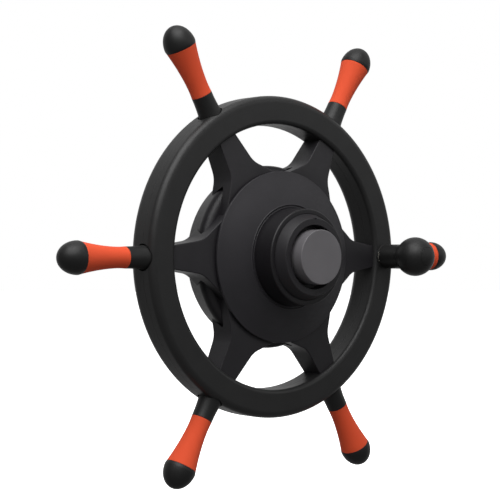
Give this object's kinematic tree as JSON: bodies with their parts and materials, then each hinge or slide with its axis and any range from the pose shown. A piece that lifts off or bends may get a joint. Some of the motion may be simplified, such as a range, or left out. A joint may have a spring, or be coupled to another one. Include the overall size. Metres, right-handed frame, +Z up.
{
  "type": "playground ship's steering wheel",
  "caption": "Ship's steering wheel for play equipment: moulded rim, flared spokes, domed hub, radial hand grips and a spinner knob, turning on a fixed spindle.",
  "frame": {"origin": "centre of the back mounting face, on the spindle's axis, where the face lies on the panel", "axes": "+Y into the panel along the spindle, the wheel's front looks along -Y; +Z up; +X to the right seen from the front, through the spinner knob"},
  "size_m": [0.55, 0.145, 0.48],
  "materials": {
    "rim_plastic": "fine moulded grain, black",
    "hub_plastic": "satin moulded, black",
    "handle_plastic": "satin moulded, black",
    "grip_orange": "soft-touch satin, orange",
    "cap_plastic": "satin moulded, grey",
    "steel": "zinc plated",
    "bearing_plastic": "natural bearing plastic",
    "brass": "turned"
  },
  "bodies": {
    "base": {"mounting_base": "hub_plastic", "threaded_inserts": "brass", "spindle": "steel", "rear_thrust_washer": "bearing_plastic", "front_thrust_washer": "bearing_plastic", "spindle_washer": "steel", "spindle_nut": "steel"},
    "wheel": {"hub_drum": "hub_plastic", "spoke_star": "hub_plastic", "star_screws": "steel", "hub_back_cover": "hub_plastic", "back_cover_screws": "steel", "rear_bush": "bearing_plastic", "front_bush": "bearing_plastic", "hub_cover": "hub_plastic", "hub_cover_screws": "steel", "collar": "hub_plastic", "cap_ring": "hub_plastic", "centre_cap": "cap_plastic", "rim_front_shell": "rim_plastic", "rim_rear_shell": "rim_plastic", "rim_screws": "steel", "grip_bolts": "steel", "grip_nuts": "steel", "knob_bolt": "steel", "knob_nut": "steel", "knob_washer": "bearing_plastic", "grip_core_1": "handle_plastic", "grip_core_2": "handle_plastic", "grip_core_3": "handle_plastic", "grip_core_4": "handle_plastic", "grip_core_5": "handle_plastic", "grip_core_6": "handle_plastic", "grip_end_cap_1": "handle_plastic", "grip_end_cap_2": "handle_plastic", "grip_end_cap_3": "handle_plastic", "grip_end_cap_4": "handle_plastic", "grip_end_cap_5": "handle_plastic", "grip_end_cap_6": "handle_plastic", "grip_sleeve_1": "grip_orange", "grip_sleeve_2": "grip_orange", "grip_sleeve_3": "grip_orange", "grip_sleeve_4": "grip_orange", "grip_sleeve_5": "grip_orange", "grip_sleeve_6": "grip_orange"},
    "knob": {"knob_body": "handle_plastic", "knob_bush": "bearing_plastic", "knob_plug": "handle_plastic"}
  },
  "joints": [
    {"name": "wheel_spin", "type": "hinge", "parent": "base", "child": "wheel", "pos_m": [0, 0, 0], "axis": [0, -1, 0], "continuous": true},
    {"name": "knob_spin", "type": "hinge", "parent": "wheel", "child": "knob", "pos_m": [0.16, -0.1, 0], "axis": [0, -1, 0], "continuous": true}
  ]
}
